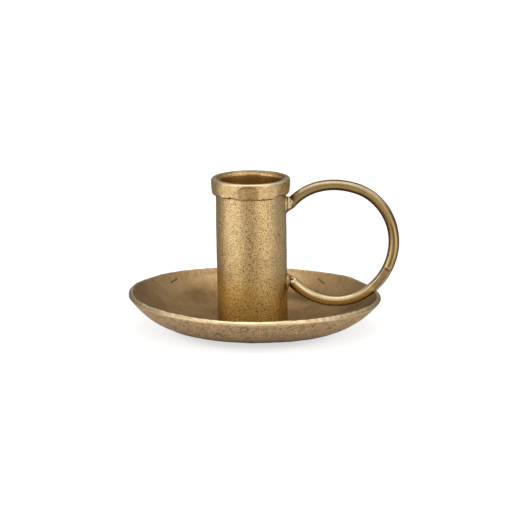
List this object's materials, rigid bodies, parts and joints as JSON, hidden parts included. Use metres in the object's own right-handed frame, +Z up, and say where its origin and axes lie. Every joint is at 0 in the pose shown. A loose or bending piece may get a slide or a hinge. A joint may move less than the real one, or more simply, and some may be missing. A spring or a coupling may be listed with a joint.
{
  "type": "chamberstick with finger loop",
  "caption": "Low brass chamberstick: shallow round drip dish, short candle tube with a flared collar, and a finger loop of round bar at one side.",
  "frame": {"origin": "centre of the dish's flat base, on the surface that it stands on", "axes": "+Z up, along the candle tube; +X towards the finger loop"},
  "size_m": [0.1072, 0.1, 0.0605],
  "materials": {
    "dish_brass": "aged satin, faint brushing",
    "tube_brass": "aged satin, fine granular skin",
    "collar_brass": "aged satin, hammered",
    "loop_brass": "aged satin, rubbed bright on its faces",
    "braze_metal": "rough satin, pitted"
  },
  "bodies": {
    "root": {"drip_dish": "dish_brass", "candle_tube": "tube_brass", "rim_collar": "collar_brass", "ring_handle": "loop_brass", "upper_handle_braze": "braze_metal", "lower_handle_braze": "braze_metal", "tube_foot_braze": "braze_metal", "collar_braze": "braze_metal"}
  },
  "joints": []
}
